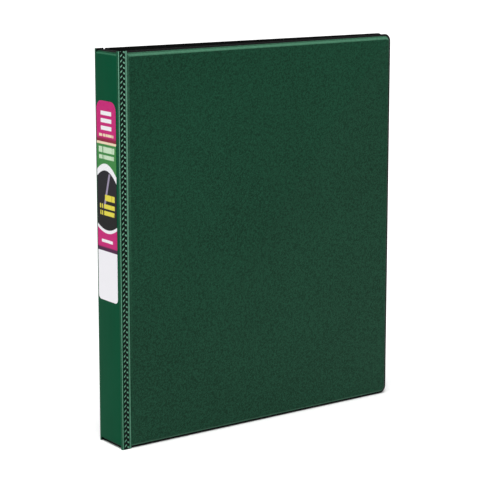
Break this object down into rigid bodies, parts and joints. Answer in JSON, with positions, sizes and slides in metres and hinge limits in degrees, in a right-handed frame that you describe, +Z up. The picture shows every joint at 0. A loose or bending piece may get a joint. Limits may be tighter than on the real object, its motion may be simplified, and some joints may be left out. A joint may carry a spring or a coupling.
{
  "type": "ring binder",
  "caption": "Upright ring binder with board covers welded in vinyl, fold lines either side of the spine, a spine label, and slant-D rings on a riveted housing opened by end levers.",
  "frame": {"origin": "centre of the closed binder's bounding box, on its bottom edge", "axes": "+X from the spine to the fore edge, +Y from the front cover to the back cover, +Z up along the spine"},
  "size_m": [0.2672, 0.0362, 0.298],
  "materials": {
    "greyboard": "pressed grey board",
    "green_film": "fine leather-grain vinyl",
    "spine_film": "smooth satin vinyl",
    "hinge_film": "welded vinyl with a braided emboss",
    "black_liner": "matte black vinyl",
    "pocket_film": "satin black film",
    "label_paper": "coated paper, printed",
    "nickel_housing": "bright nickel plate",
    "blade_steel": "nickel-plated spring steel",
    "nickel_wire": "bright nickel plate",
    "trigger_steel": "bright nickel plate",
    "pin_steel": "satin",
    "rivet_steel": "bright nickel plate",
    "spacer_plastic": "moulded"
  },
  "bodies": {
    "back_cover": {"back_board": "greyboard", "back_outer_film": "green_film", "back_liner": "black_liner", "back_hinge_strip": "hinge_film", "back_pocket": "pocket_film", "ring_housing": "nickel_housing", "lower_trigger_pin": "pin_steel", "upper_trigger_pin": "pin_steel", "lower_rivet": "rivet_steel", "upper_rivet": "rivet_steel", "lower_spacer": "spacer_plastic", "upper_spacer": "spacer_plastic"},
    "spine": {"spine_board": "greyboard", "spine_outer_film": "spine_film", "spine_liner": "black_liner", "spine_label": "label_paper"},
    "front_cover": {"front_board": "greyboard", "front_outer_film": "green_film", "front_liner": "black_liner", "front_hinge_strip": "hinge_film", "front_pocket": "pocket_film"},
    "fore_ring_halves": {"fore_blade": "blade_steel", "lower_slanted_post": "nickel_wire", "middle_slanted_post": "nickel_wire", "upper_slanted_post": "nickel_wire"},
    "spine_ring_halves": {"spine_blade": "blade_steel", "lower_curved_arm": "nickel_wire", "middle_curved_arm": "nickel_wire", "upper_curved_arm": "nickel_wire"},
    "lower_trigger": {"lower_trigger": "trigger_steel"},
    "upper_trigger": {"upper_trigger": "trigger_steel"}
  },
  "joints": [
    {"name": "back_hinge", "type": "hinge", "parent": "back_cover", "child": "spine", "pos_m": [-0.1327, 0.01617, 0.149], "axis": [0, 0, -1], "range_deg": [0, 180]},
    {"name": "front_hinge", "type": "hinge", "parent": "spine", "child": "front_cover", "pos_m": [-0.1327, -0.01783, 0.149], "axis": [0, 0, -1], "range_deg": [0, 180]},
    {"name": "rings_open", "type": "hinge", "parent": "back_cover", "child": "fore_ring_halves", "pos_m": [-0.09803, 0.01161, 0.149], "axis": [0, 0, 1], "range_deg": [0, 17]},
    {"name": "spine_rings_open", "type": "hinge", "parent": "back_cover", "child": "spine_ring_halves", "pos_m": [-0.11682, 0.01161, 0.149], "axis": [0, 0, -1], "range_deg": [0, 17]},
    {"name": "lower_trigger_turn", "type": "hinge", "parent": "back_cover", "child": "lower_trigger", "pos_m": [-0.10743, 0.01106, 0.02205], "axis": [1, 0, 0], "range_deg": [0, 19.5]},
    {"name": "upper_trigger_turn", "type": "hinge", "parent": "back_cover", "child": "upper_trigger", "pos_m": [-0.10743, 0.01106, 0.27595], "axis": [-1, 0, 0], "range_deg": [0, 19.5]}
  ],
  "couplings": [
    {"joint": "spine_rings_open", "follows": "rings_open", "ratio": 1},
    {"joint": "lower_trigger_turn", "follows": "rings_open", "ratio": 1.147},
    {"joint": "upper_trigger_turn", "follows": "rings_open", "ratio": 1.147}
  ]
}
